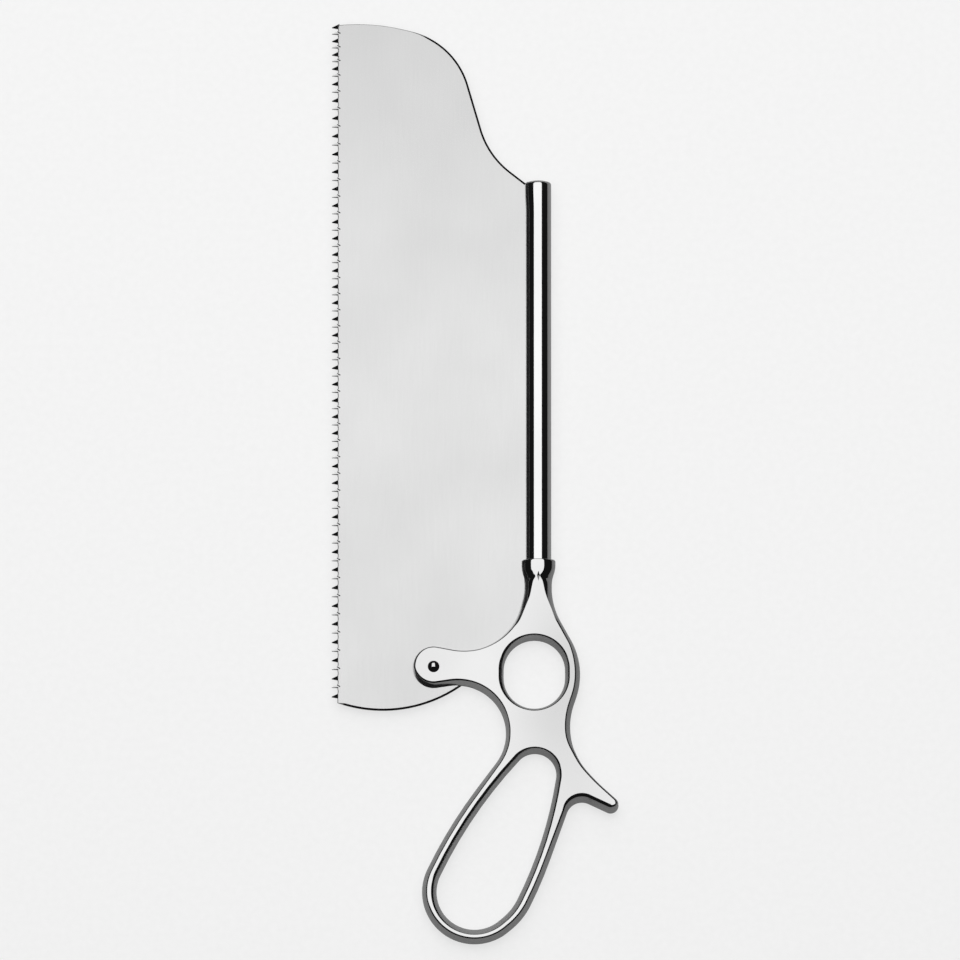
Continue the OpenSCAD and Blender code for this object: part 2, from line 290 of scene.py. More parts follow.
# The same for the handle at its palm, a painted shade, with the radius of the darker patch.
# The patch is longer along Y, where the way to its middle counts by less.
PALM_SHARE = 0.82
PALM_SPOT = (15, -52, HALF_T)
PALM_SPOT_R = 40
PALM_SQUEEZE = Vector((1, 0.55, 1))

# Table: lit greys, glowing greys, and the paper's grain
TABLE_HALF = 1.2
TABLE_Z = -0.0003
TABLE_ROUGHNESS = 0.35
TABLE_GLOSS = 0.5
TABLE_GREY = (0.34, 0.36)
GLOW_GREY = (0.716, 0.726)
PAPER_SCALE = 400
# Share of the table's lit look that the picture keeps, and of its glow that metal mirrors
LIT_SHARE = 0.45
MIRRORED_SHARE = 0.06

# Light, in metres: a wide softbox that reaches these angles to the four sides of the
# saw, and a plain lamp
SOFTBOX_H = 1.0
SOFTBOX_LEFT = math.radians(39)
SOFTBOX_RIGHT = math.radians(31)
SOFTBOX_NEAR = math.radians(10)
SOFTBOX_FAR = math.radians(66)
SOFTBOX_RADIANCE = 1.5
FILL_H = 2.0
FILL_SIZE = 2.0
FILL_RADIANCE = 1.2
# Grey of the room, and of the room that the camera sees past the table
ROOM_GREY = 0.011
SEEN_ROOM_GREY = 0.9

# Camera: the picture's width spans 351.84 mm of the blade's plane, seen from 7.55
# degrees nearer the loop than straight above
PICTURE_W = 0.35184
TILT = math.radians(7.55)
SENSOR = 36
LENS = 1500
TARGET = (-21.4, 29.58, 0)
CLIP_END = 60


# Drawing aids


def place(x, y, z):
    """The point of the row frame, in metres, of a point of the drawing."""
    return ORIGIN + MM * Vector((x, y, z))


def smooth(low, high, x):
    """Smooth step from 0 at low to 1 at high."""
    t = max(0, min(1, (x - low) / (high - low)))
    return t * t * (3 - 2 * t)


def curve(x, table, column):
    """A smooth curve through a column of a table whose first column is x."""
    last = len(table) - 1
    i = 0
    while i < last - 1 and x > table[i + 1][0]:
        i += 1
    spots = [table[max(0, min(last, i + k))] for k in (-1, 0, 1, 2)]
    xs = [spot[0] for spot in spots]
    ys = [spot[column] for spot in spots]
    step = xs[2] - xs[1]
    t = max(0, min(1, (x - xs[1]) / step))
    rise_1 = (ys[2] - ys[0]) / (xs[2] - xs[0]) * step
    rise_2 = (ys[3] - ys[1]) / (xs[3] - xs[1]) * step
    return (
        (2 * t**3 - 3 * t**2 + 1) * ys[1]
        + (t**3 - 2 * t**2 + t) * rise_1
        + (3 * t**2 - 2 * t**3) * ys[2]
        + (t**3 - t**2) * rise_2
    )


def arc(cx, cy, radius, start, end, steps):
    """Points of an arc, with angles in degrees."""
    points = []
    for k in range(steps + 1):
        angle = math.radians(start + (end - start) * k / steps)
        points.append((cx + radius * math.cos(angle), cy + radius * math.sin(angle)))
    return points


def heading(a, b):
    """Direction of the straight run from wheel a to wheel b."""
    dx = b[0] - a[0]
    dy = b[1] - a[1]
    lean = (b[2] - a[2]) / math.hypot(dx, dy)
    return math.atan2(dy, dx) - math.asin(max(-1, min(1, lean)))


def belt(wheels):
    """Points of a belt round wheels, with the metal on the left of the way round, and the
    belt's outward directions there."""
    points = []
    for i, wheel in enumerate(wheels):
        after = wheels[(i + 1) % len(wheels)]
        start = heading(wheels[i - 1], wheel)
        end = heading(wheel, after)
        if wheel[2] < 0:
            turn = -((start - end) % math.tau)
        else:
            turn = (end - start) % math.tau
        steps = max(1, math.ceil(abs(turn) / ARC_STEP))
        for k in range(steps + 1):
            angle = start + turn * k / steps
            out = Vector((math.sin(angle), -math.cos(angle)))
            points.append((Vector(wheel[:2]) + wheel[2] * out, out))
    return points


def wheel_round(a, b, radius):
    """The wheel that holds wheels a and b inside it and touches both."""
    ca = Vector(a[:2])
    way = Vector(b[:2]) - ca
    to_a = radius - a[2]
    to_b = radius - b[2]
    along = (to_a**2 - to_b**2 + way.length_squared) / (2 * way.length)
    aside = math.sqrt(to_a**2 - along**2)
    unit = way.normalized()
    centre = ca + along * unit + aside * Vector((-unit.y, unit.x))
    return (centre.x, centre.y, radius)


def wider(wheel, by):
    """The same wheel with a larger radius."""
    return (wheel[0], wheel[1], wheel[2] + by)


# Mesh aids


def new_object(name, bm, material, smooth_angle=SMOOTH_ANGLE):
    """A piece from a bmesh in drawing millimetres, smooth but for its sharp edges."""
    for vert in bm.verts:
        vert.co = place(*vert.co)
    mesh = bpy.data.meshes.new(name)
    bm.to_mesh(mesh)
    bm.free()
    mesh.shade_smooth()
    mesh.set_sharp_from_angle(angle=math.radians(smooth_angle))
    mesh.materials.append(material)
    piece = bpy.data.objects.new(name, mesh)
    bpy.context.collection.objects.link(piece)
    return piece


def bridge(bm, ring_a, ring_b, closed=True):
    """Quads between two rings of as many vertices each."""
    count = len(ring_a)
    for i in range(count if closed else count - 1):
        j = (i + 1) % count
        bm.faces.new((ring_a[i], ring_a[j], ring_b[j], ring_b[i]))


def rings_of(bm, columns):
    """Closed rings of vertices through the columns, joined by quads."""
    rings = []
    for level in zip(*columns):
        rings.append([bm.verts.new(spot) for spot in level])
    for ring_a, ring_b in zip(rings, rings[1:]):
        bridge(bm, ring_a, ring_b)
    return rings[0], rings[-1]


def ring_edges(bm, ring):
    """The edges between a ring's neighbouring vertices."""
    count = len(ring)
    return [bm.edges.get((vert, ring[(i + 1) % count])) for i, vert in enumerate(ring)]


def turned(bm, profile, steps=CIRCLE_STEPS):
    """A solid turned about the rod's axis from (radius, height) points, bottom first."""
    rings = []
    for radius, height in profile:
        ring = []
        for k in range(steps):
            angle = math.tau * k / steps
            spot = (radius * math.cos(angle), height, -radius * math.sin(angle))
            ring.append(bm.verts.new(spot))
        rings.append(ring)
    for ring_a, ring_b in zip(rings, rings[1:]):
        bridge(bm, ring_a, ring_b)
    bm.faces.new(list(reversed(rings[0])))
    bm.faces.new(rings[-1])


def prism(name, outline, half):
    """A prism about the middle plane, used as a cutter."""
    bm = bmesh.new()
    low = [bm.verts.new((p.x, p.y, -half)) for p in outline]
    high = [bm.verts.new((p.x, p.y, half)) for p in outline]
    bridge(bm, low, high)
    bm.faces.new(list(reversed(low)))
    bm.faces.new(high)
    return new_object(name, bm, steel)


def add_solid(bm, corners):
    """A solid of eight corners: four round one end, then the four opposite."""
    verts = [bm.verts.new(corner) for corner in corners]
    low = verts[:4]
    high = verts[4:]
    bridge(bm, low, high)
    bm.faces.new(list(reversed(low)))
    bm.faces.new(high)


def cut(piece, cutters):
    """Cuts the cutters out of the piece for good."""
    for cutter in cutters:
        trim = piece.modifiers.new("cut", "BOOLEAN")
        trim.operation = "DIFFERENCE"
        trim.solver = "EXACT"
        trim.object = cutter
    bpy.context.view_layer.update()
    graph = bpy.context.evaluated_depsgraph_get()
    mesh = bpy.data.meshes.new_from_object(piece.evaluated_get(graph))
    piece.modifiers.clear()
    piece.data = mesh
    mesh.set_sharp_from_angle(angle=math.radians(SMOOTH_ANGLE))
    for cutter in cutters:
        bpy.data.objects.remove(cutter)


# Outlines


def loop_sides():
    """The large wheels of the loop's right and left side."""
    right = wheel_round(LOOP_BELLY, LOOP_TOP, LOOP_RIGHT_R)
    left = wheel_round(LOOP_TOP, LOOP_END, LOOP_LEFT_R)
    return right, left


def loop_wheels():
    right, left = loop_sides()
    return [LOOP_END, LOOP_BELLY, right, LOOP_TOP, left]


def ring_wheels():
    reach = (RING_H - RING_W) / 2
    return [
        (RING_X, RING_Y - reach, RING_W / 2),
        (RING_X, RING_Y + reach, RING_W / 2),
    ]


def handle_wheels():
    right, left = loop_sides()
    x, y, radius = CLOSING_WHEEL
    return [
        LUG_WHEEL,
        (PALM_X - PALM_W / 2 - PALM_COVE_R, PALM_Y, -PALM_COVE_R),
        wider(left, BAR_W),
        wider(LOOP_END, BAR_W),
        wider(LOOP_BELLY, BAR_W),
        wider(right, BAR_W),
        HORN_NOTCH,
        HORN_TIP,
        HORN_COVE,
        PALM_RIGHT_COVE,
        (RING_X + RING_W / 2 + RIM_W - RIM_R, RING_Y, RIM_R),
        (NECK_W / 2 + NECK_COVE_R, WAIST_Y, -NECK_COVE_R),
        (x, y, radius),
        (-x, y, radius),
        NECK_LEFT_COVE,
        ARM_COVE,
    ]


def blade_wheels():
    corner_reach = HEEL_R - HEEL_CORNER_R
    return [
        HEEL,
        (
            HEEL[0] + corner_reach * math.cos(HEEL_ANGLE),
            HEEL[1] + corner_reach * math.sin(HEEL_ANGLE),
            HEEL_CORNER_R,
        ),
        (BLADE_BACK - BACK_LOW_R, BACK_LOW_Y, BACK_LOW_R),
        (BLADE_BACK - BACK_HIGH_R, BACK_HIGH_Y, BACK_HIGH_R),
        TIP_COVE,
        TIP_SHOULDER,
        TIP_CREST,
        BEYOND_TOP,
        BEYOND_LOW,
    ]


# Handle


def bevel_profile(width, corner_r):
    """Inward steps and heights of a bevel and its rounded corner, up to the flat.

    The wall's tilt and the corner's end depend on each other, so they are found in
    rounds.
    """
    tilt = FIRST_TILT
    for _ in range(TILT_ROUNDS):
        rise = HALF_T - EDGE_HALF - corner_r * (1 - math.cos(tilt))
        run = width - corner_r * math.sin(tilt)
        tilt = math.atan2(rise, run) - WALL_TURN / 2
    corner = []
    for k in range(CORNER_STEPS + 1):
        angle = tilt * (1 - k / CORNER_STEPS)
        step = width - corner_r * math.sin(angle)
        corner.append((step, HALF_T - corner_r * (1 - math.cos(angle))))
    wall = []
    wall_r = math.hypot(rise, run) / 2 / math.sin(WALL_TURN / 2)
    for k in range(WALL_STEPS):
        angle = tilt + WALL_TURN * (1 - k / WALL_STEPS)
        step = corner[0][0] - wall_r * (math.sin(angle) - math.sin(tilt))
        wall.append((step, corner[0][1] - wall_r * (math.cos(tilt) - math.cos(angle))))
    return wall + corner + [(width + SUPPORT, HALF_T)]


def oval_profile(half_w, half_d, flat, ridge):
    """The same for an oval bar that is cut flat, with as many steps.

    Where ridge is 1 its round side is a slope that rises to a ridge instead.
    """
    radius = half_d / math.sqrt(1 - (flat / half_w) ** 2)
    low = math.asin(EDGE_HALF / radius)
    high = math.acos(flat / half_w)
    chord = math.atan2(half_d - EDGE_HALF, half_w - flat)
    foot = 2 * chord - RIDGE_TILT
    slope_r = (half_w - flat) / (math.sin(foot) - math.sin(RIDGE_TILT))
    last = CORNER_STEPS + WALL_STEPS
    points = []
    for i in range(last + 1):
        angle = low + (high - low) * i / last
        oval = Vector((half_w * (1 - math.cos(angle)), radius * math.sin(angle)))
        tilt = foot + (RIDGE_TILT - foot) * i / last
        slope = slope_r * Vector(
            (math.sin(foot) - math.sin(tilt), math.cos(tilt) - math.cos(foot))
        )
        slope.y += EDGE_HALF
        points.append(tuple(oval.lerp(slope, ridge)))
    return points + [(half_w - flat + SUPPORT, half_d)]


def both_sides(profile):
    """A profile's steps and heights from the back flat round the rim to the front flat."""
    return [(step, -height) for step, height in reversed(profile)] + profile


def facing_bevel(bevel, facing):
    """Width and corner radius of a bevel whose edge faces along Y by that much."""
    side, low, high, side_r, end_r = bevel
    width = side + abs(facing) * ((low if facing < 0 else high) - side)
    return width, side_r + abs(facing) * (end_r - side_r)


def outline_bevel(point, facing):
    """Width and corner radius of the outline's bevel at a point of the outline."""
    width, corner_r = facing_bevel(OUTLINE_BEVEL, facing)
    for centre, near, far, bevel in BEVEL_ZONES:
        share = 1 - smooth(near, far, (point - centre).length)
        local_width, local_r = facing_bevel(bevel, facing)
        width += (local_width - width) * share
        corner_r += (local_r - corner_r) * share
    return width, corner_r


def outline_column(point, out):
    """Points across the handle's outer edge, from the back flat to the front flat."""
    width, corner_r = outline_bevel(point, out.y)
    neck = smooth(NECK[0][0], NECK_BLEND_TOP, point.y)
    if neck > 0:
        half_w = abs(point.x - neck_middle(point.y))
        neck_width = half_w - curve(point.y, NECK, FLAT_COLUMN)
        width = width + (neck_width - width) * neck
    profile = bevel_profile(width, min(corner_r, CORNER_SHARE * width))
    if neck > 0:
        ridge = curve(point.y, NECK, RIDGE_COLUMN)
        oval = oval_profile(half_w, HALF_T, half_w - width, ridge)
        profile = [
            (s + (t - s) * neck, z + (y - z) * neck)
            for (s, z), (t, y) in zip(profile, oval)
        ]
    spots = []
    for step, height in both_sides(profile):
        spot = point - step * out
        spots.append((spot.x, spot.y, height))
    return spots


def hole_column(point, out, bevel):
    """The same at the edge of a hole, whose belt's outward side is metal."""
    width, corner_r = facing_bevel(bevel, -out.y)
    rounder = RIGHT_R * max(0, -out.x) ** 2
    corner_r += rounder
    width += RIGHT_SHARE * rounder
    profile = bevel_profile(width, min(corner_r, CORNER_SHARE * width))
    spots = []
    for step, height in both_sides(profile):
        spot = point + step * out
        spots.append((spot.x, spot.y, height))
    return spots


def neck_middle(y):
    """The neck's middle, which lies a little aside at its waist."""
    return NECK_ASIDE * (1 - smooth(ASIDE_UP_TO, STRAIGHT_FROM, y))


def neck_column(side, y, half_w, half_d, flat, ridge):
    """Points across the side of the neck or the collar, from the back to the front."""
    levels = both_sides(oval_profile(half_w, half_d, flat, ridge))
    middle = neck_middle(y)
    return [(middle + side * (half_w - step), y, height) for step, height in levels]


def neck_stations():
    """Rows of the neck's table, close together, from the waist to the collar's top."""
    stations = []
    top = NECK[-1][0]
    columns = range(1, len(NECK[0]))
    for i in range(1, NECK_STEPS + 1):
        y = WAIST_Y + (top - WAIST_Y) * i / NECK_STEPS
        stations.append((y, *(curve(y, NECK, column) for column in columns)))
    y, half_w, half_d, flat, ridge = stations[-1]
    for i in range(1, COLLAR_STEPS + 1):
        angle = math.radians(90 * i / COLLAR_STEPS)
        shrink = 1 - math.cos(angle)
        stations.append(
            (
                top - top * math.sin(angle),
                half_w - COLLAR_ROUND * shrink,
                half_d - COLLAR_LIP * shrink,
                flat,
                ridge,
            )
        )
    return stations


def handle_rings(bm):
    """The handle's outer edge. Returns its two rings and the number of plate columns."""
    track = belt(handle_wheels())
    highest = [i for i, (p, out) in enumerate(track) if p.y > WAIST_Y]
    track = track[highest[-1] + 1 :] + track[: highest[0]]
    columns = [outline_column(point, out) for point, out in track]
    stations = neck_stations()
    columns += [neck_column(1, *station) for station in stations]
    columns += [neck_column(-1, *station) for station in reversed(stations)]
    return rings_of(bm, columns), len(track)


def hole_rings(bm, wheels, bevel):
    return rings_of(bm, [hole_column(point, out, bevel) for point, out in belt(wheels)])


def fill_flat(bm, outer, plate_count, holes):
    """Fills a flat of the handle: strips up the neck, triangles over the plate."""
    right = outer[plate_count - 1 : plate_count - 1 + (len(outer) - plate_count) // 2 + 1]
    left = [outer[0]] + list(reversed(outer[plate_count + len(right) - 1 :]))
    bridge(bm, right, left, closed=False)
    edges = ring_edges(bm, outer)[: plate_count - 1]
    edges.append(bm.edges.get((right[0], left[0])))
    for hole in holes:
        edges += ring_edges(bm, hole)
    bmesh.ops.triangle_fill(bm, use_beauty=True, use_dissolve=False, edges=edges)


def make_handle():
    """The casting with its two openings, the blade's slot and the nick."""
    bm = bmesh.new()
    outer, plate_count = handle_rings(bm)
    ring = hole_rings(bm, ring_wheels(), RING_BEVEL)
    loop = hole_rings(bm, loop_wheels(), LOOP_BEVEL)
    for side in (0, 1):
        fill_flat(bm, outer[side], plate_count, [ring[side], loop[side]])
    bmesh.ops.remove_doubles(bm, verts=bm.verts, dist=MERGE_GAP)
    bmesh.ops.recalc_face_normals(bm, faces=bm.faces)
    body = new_object("cast_handle", bm, steel)
    cut(body, [make_slot(), make_slot_end(), make_nick()])
    return body


def make_slot():
    """Cutter of the slot that the blade lies in."""
    outline = [point + SLOT_GAP * out for point, out in belt(blade_wheels())]
    return prism("slot", outline, SLOT_HALF)


def make_slot_end():
    """Cutter of the round stretch that the blade's lower end swings through."""
    swing_r = BLADE_DROP + PIVOT.y + SWING_GAP
    outline = []
    for k in range(CIRCLE_STEPS):
        angle = math.tau * k / CIRCLE_STEPS
        outline.append(PIVOT + swing_r * Vector((math.cos(angle), math.sin(angle))))
    return prism("round_end", outline, SLOT_HALF)


def make_nick():
    """Cutter of the nick under the collar, a pyramid that points into the metal."""
    bm = bmesh.new()
    mouth = [
        (0, NICK_TOP_Y),
        (-NICK_HALF_W, NICK_Y),
        (0, NICK_LOW_Y),
        (NICK_HALF_W, NICK_Y),
    ]
    ring = [bm.verts.new((x, y, NICK_MOUTH_Z)) for x, y in mouth]
    point = bm.verts.new((0, NICK_Y, NICK_POINT_Z))
    for k in range(len(ring)):
        bm.faces.new((ring[k], ring[(k + 1) % len(ring)], point))
    bm.faces.new(list(reversed(ring)))
    bmesh.ops.recalc_face_normals(bm, faces=bm.faces)
    return new_object("nick", bm, steel)


# Rod and pin


def rod_profile():
    """Radius and height up the rod: spigot, seam, bar, rounded rim and shallow dome."""
    lip_y = ROD_H - LIP_L
    rim_r = ROD_R - ROD_ROUND
    rim_y = ROD_H - ROD_ROUND - DOME_H
    profile = [(SPIGOT_R, -SPIGOT_H), (SPIGOT_R, -2 * SEAM), (ROD_R, -SEAM)]
    profile += [(ROD_R, FOOT_H), (ROD_R, lip_y)]
    profile += [(ROD_R, lip_y + k + 1) for k in range(LIP_RINGS)]
    profile += arc(rim_r, rim_y, ROD_ROUND, 0, ROD_ROUND_END, ROD_ROUND_STEPS)
    profile += arc(0, ROD_H - DOME_R, DOME_R, DOME_START, DOME_END, DOME_STEPS)
    return profile


def make_rod():
    """The rod with its spigot, its slot and the slot's lips, sprung open at the tip."""
    bm = bmesh.new()
    turned(bm, rod_profile())
    rod = new_object("slotted_rod", bm, chrome)
    top = ROD_H + CUTTER_BEYOND
    corners = [
        (CUTTER_X, CUTTER_LOW),
        (ROD_SLOT_X, CUTTER_LOW),
        (ROD_SLOT_X, top),
        (CUTTER_X, top),
    ]
    cut(rod, [prism("rod_slot", [Vector(corner) for corner in corners], SLOT_HALF)])
    for vert in rod.data.vertices:
        x, y, z = (vert.co - ORIGIN) / MM
        along = smooth(ROD_H - LIP_L, ROD_H - SPRING_END, y)
        vert.co.x -= MM * LIP_SPRING * along * smooth(LIP_FROM_X, LIP_TO_X, x)
    return rod


def make_pin():
    """A pin whose domed heads get steeper towards their rims."""
    bm = bmesh.new()
    inner, outer = DOME_POWERS
    half = [(SHANK_R, 0), (SHANK_R, HALF_T - 2 * HEAD_SINK)]
    for k in range(HEAD_STEPS):
        share = 1 - k / HEAD_STEPS
        rise = (HEAD_H + HEAD_SINK) * (1 - share**inner) ** outer
        half.append((HEAD_R * share, HALF_T - HEAD_SINK + rise))
    half.append((HEAD_TOP_R, HALF_T + HEAD_H))
    profile = [(radius, -height) for radius, height in reversed(half[1:])] + half
    turned(bm, profile, steps=PIN_STEPS)
    for vert in bm.verts:
        x, y, z = vert.co
        vert.co = (x + PIVOT.x, -z + PIVOT.y, y)
    return new_object("domed_pin", bm, steel)


# Blade


def tooth_y(number):
    """Height of a tooth's point."""
    share = curve(number / TEETH, TOOTH_SHARES, 1)
    return FIRST_TOOTH_Y + (LAST_TOOTH_Y - FIRST_TOOTH_Y) * share


def gullet(low, high):
    """Points of the round gullet between two teeth, downwards."""
    middle = (low + high) / 2
    half = (high - low) / 2
    points = []
    for k in range(GULLET_STEPS + 1):
        angle = math.radians(90 - 180 * k / GULLET_STEPS)
        x = TOOTH_H - REACH + GULLET_BITE * math.cos(angle)
        points.append(Vector((x, middle + half * math.sin(angle))))
    return points


def blade_outline():
    """The sheet's outline with its gullets, without the teeth."""
    gullet_x = TOOTH_H - REACH
    points = [point for point, out in belt(blade_wheels())]
    kept = []
    start = 0
    for i, p in enumerate(points):
        q = points[(i + 1) % len(points)]
        if p.x > gullet_x:
            kept.append(p)
        if (p.x > gullet_x) != (q.x > gullet_x):
            kept.append(p.lerp(q, (gullet_x - p.x) / (q.x - p.x)))
            if p.x > gullet_x:
                start = len(kept)
    edge = []
    for i in reversed(range(TEETH)):
        edge += gullet(tooth_y(i) + TOOTH_ABOVE, tooth_y(i + 1) - TOOTH_BELOW)
    return kept[:start] + edge + kept[start:]


def edge_share(spot, inward):
    """Share of the ground edge's width at a spot of the blade's outline."""
    if spot.x < TOOTH_H - REACH + TOOTHED_W:
        return TOOTHED_SHARE
    return 1 - NARROWED_SHARE * smooth(EDGE_UP_SHARE, 1, -inward.y)


def blade_ring(bm, outline, inset, height):
    """A ring of vertices at a height, set in from the blade's outline."""
    count = len(outline)
    ring = []
    for i, p in enumerate(outline):
        way = outline[(i + 1) % count] - outline[i - 1]
        inward = Vector((-way.y, way.x)).normalized()
        spot = p + edge_share(p, inward) * inset * inward
        ring.append(bm.verts.new((spot.x, spot.y, height)))
    return ring


def add_sheet(bm):
    """The blade's sheet, with a ground edge on both faces."""
    outline = blade_outline()
    levels = [
        (EDGE_W * EDGE_SUPPORT_SHARE, BLADE_HALF),
        (EDGE_W, BLADE_HALF),
        (0, BLADE_HALF - EDGE_DROP),
        (0, EDGE_DROP - BLADE_HALF),
        (EDGE_W, -BLADE_HALF),
        (EDGE_W * EDGE_SUPPORT_SHARE, -BLADE_HALF),
    ]
    rings = [blade_ring(bm, outline, inset, height) for inset, height in levels]
    for ring_a, ring_b in zip(rings, rings[1:]):
        bridge(bm, ring_b, ring_a)
    for ring in (rings[0], rings[-1]):
        edges = ring_edges(bm, ring)
        bmesh.ops.triangle_fill(bm, use_beauty=True, use_dissolve=False, edges=edges)


def add_tooth(bm, y, near):
    """A tooth set towards the front or away from it, rooted inside the sheet."""
    root = TOOTH_H - REACH + TOOTH_ROOT
    half = ROOT_SHARE * BLADE_HALF
    low = y - (TIP_BELOW if near else TOOTH_BELOW)
    low_front = low + (UNDERCUT if near else 0)
    tip_low_front = y - (0 if near else TIP_BELOW)
    tip_z = BLADE_HALF + TOOTH_SET
    tip_back, tip_front = (tip_z - TIP_T, tip_z) if near else (-tip_z, TIP_T - tip_z)
    add_solid(
        bm,
        [
            (root, low, -half),
            (root, y + TOOTH_ABOVE, -half),
            (root, y + TOOTH_ABOVE, half),
            (root, low_front, half),
            (-REACH, y - TIP_BELOW, tip_back),
            (-REACH, y + TIP_ABOVE, tip_back),
            (-REACH, y + TIP_ABOVE, tip_front),
            (-REACH, tip_low_front, tip_front),
        ],
    )


def add_burr(bm, y):
    """The burr that the file left on the sheet's front behind a near tooth."""
    low = [(x - REACH, y + up, BURR_ROOT_SHARE * BLADE_HALF) for x, up, top in BURR]
    high = [(x - REACH, y + up, top * BLADE_HALF) for x, up, top in BURR]
    add_solid(bm, low + high)


def make_blade():
    """The sheet with its teeth, satin on its flats and bright on its edges."""
    bm = bmesh.new()
    add_sheet(bm)
    for i in range(TEETH + 1):
        near = i % 2 == 1
        add_tooth(bm, tooth_y(i), near)
        if near:
            add_burr(bm, tooth_y(i))
    bmesh.ops.recalc_face_normals(bm, faces=bm.faces)
    for face in bm.faces:
        face.material_index = 1 if abs(face.normal.z) < FLAT_SHARE else 0
    piece = new_object("saw_blade", bm, satin, smooth_angle=BLADE_SMOOTH_ANGLE)
    piece.data.materials.append(steel)
    return piece


# Materials


def node_material(name):
    material = bpy.data.materials.new(name)
    material.use_nodes = True
    nodes = material.node_tree.nodes
    shader = nodes["Principled BSDF"]
    return material, nodes, material.node_tree.links, shader


def grey_ramp(nodes, greys):
    """A colour ramp over the middle of a noise, from the first grey to the second."""
    ramp = nodes.new("ShaderNodeValToRGB")
    for element, share, grey in zip(ramp.color_ramp.elements, CLOUD_SHARES, greys):
        element.position = share
        element.color = (grey, grey, grey, 1)
    return ramp


def add_clouds(nodes, links, shader, coord, greys):
    """Faint clouds in the steel's colour."""
    clouds = nodes.new("ShaderNodeTexNoise")
    clouds.inputs["Scale"].default_value = CLOUD_SCALE
    links.new(coord.outputs["Object"], clouds.inputs["Vector"])
    tint = grey_ramp(nodes, greys)
    links.new(clouds.outputs["Fac"], tint.inputs["Fac"])
    links.new(tint.outputs["Color"], shader.inputs["Base Color"])


def add_scratches(nodes, links, coord, grain):
    """Noise that is drawn out by the grain."""
    stretch = nodes.new("ShaderNodeMapping")
    stretch.inputs["Scale"].default_value = grain
    links.new(coord.outputs["Object"], stretch.inputs["Vector"])
    scratches = nodes.new("ShaderNodeTexNoise")
    scratches.inputs["Scale"].default_value = 1
    scratches.inputs["Detail"].default_value = GRAIN_DETAIL
    links.new(stretch.outputs["Vector"], scratches.inputs["Vector"])
    return scratches


def add_polish(nodes, links, shader, scratches, roughness, side_roughness):
    """Roughness that follows the scratches, and grows where a wall is seen side-on."""
    polish = nodes.new("ShaderNodeMapRange")
    polish.inputs["To Min"].default_value = roughness[0]
    polish.inputs["To Max"].default_value = roughness[1]
    links.new(scratches.outputs["Fac"], polish.inputs["Value"])
    side_on = nodes.new("ShaderNodeLayerWeight")
    soften = nodes.new("ShaderNodeMapRange")
    soften.inputs["From Min"].default_value = SIDE_SHARES[0]
    soften.inputs["From Max"].default_value = SIDE_SHARES[1]
    soften.inputs["To Max"].default_value = side_roughness
    links.new(side_on.outputs["Facing"], soften.inputs["Value"])
    total = nodes.new("ShaderNodeMath")
    links.new(polish.outputs["Result"], total.inputs[0])
    links.new(soften.outputs["Result"], total.inputs[1])
    links.new(total.outputs["Value"], shader.inputs["Roughness"])


def add_relief(nodes, links, shader, scratches, strength):
    relief = nodes.new("ShaderNodeBump")
    relief.inputs["Strength"].default_value = strength
    relief.inputs["Distance"].default_value = RELIEF_DEPTH
    links.new(scratches.outputs["Fac"], relief.inputs["Height"])
    links.new(relief.outputs["Normal"], shader.inputs["Normal"])


def metal(name, greys, roughness, grain, relief, side_roughness=0):
    """Bare steel: faint clouds in its colour and a fine grain in its polish."""
    material, nodes, links, shader = node_material(name)
    shader.inputs["Metallic"].default_value = 1
    coord = nodes.new("ShaderNodeTexCoord")
    add_clouds(nodes, links, shader, coord, greys)
    scratches = add_scratches(nodes, links, coord, grain)
    add_polish(nodes, links, shader, scratches, roughness, side_roughness)
    add_relief(nodes, links, shader, scratches, relief)
    return material


def shade(material, measure, low, high, share_low, share_high):
    """Multiplies the steel's colour by a share that changes with a measured socket."""
    nodes = material.node_tree.nodes
    links = material.node_tree.links
    shader = nodes["Principled BSDF"]
    tint = shader.inputs["Base Color"].links[0].from_socket
    fade = nodes.new("ShaderNodeMapRange")
    fade.interpolation_type = "SMOOTHERSTEP"
    fade.inputs["From Min"].default_value = low
    fade.inputs["From Max"].default_value = high
    fade.inputs["To Min"].default_value = share_low
    fade.inputs["To Max"].default_value = share_high
    links.new(measure, fade.inputs["Value"])
    shaded = nodes.new("ShaderNodeMixRGB")
    shaded.blend_type = "MULTIPLY"
    shaded.inputs["Fac"].default_value = 1
    links.new(tint, shaded.inputs["Color1"])
    links.new(fade.outputs["Result"], shaded.inputs["Color2"])
    links.new(shaded.outputs["Color"], shader.inputs["Base Color"])


def painted_tip_shade(material):
    """Paints shade into the blade's steel: a little darker towards its tip."""
    nodes = material.node_tree.nodes
    links = material.node_tree.links
    coord = nodes.new("ShaderNodeTexCoord")
    split = nodes.new("ShaderNodeSeparateXYZ")
    links.new(coord.outputs["Object"], split.inputs["Vector"])
    start = place(0, TIP_FADE_FROM_Y, 0).y
    end = place(0, TIP_FADE_TO_Y, 0).y
    shade(material, split.outputs["Y"], start, end, 1, TIP_SHARE)


def painted_palm_shade(material):
    """Paints shade into the handle's steel: its colour gets darker round a spot on the palm.
    """
    nodes = material.node_tree.nodes
    links = material.node_tree.links
    coord = nodes.new("ShaderNodeTexCoord")
    squeezed = nodes.new("ShaderNodeVectorMath")
    squeezed.operation = "MULTIPLY"
    squeezed.inputs[1].default_value = PALM_SQUEEZE
    links.new(coord.outputs["Object"], squeezed.inputs[0])
    away = nodes.new("ShaderNodeVectorMath")
    away.operation = "DISTANCE"
    away.inputs[1].default_value = place(*PALM_SPOT) * PALM_SQUEEZE
    links.new(squeezed.outputs["Vector"], away.inputs[0])
    shade(material, away.outputs["Value"], 0, MM * PALM_SPOT_R, PALM_SHARE, 1)


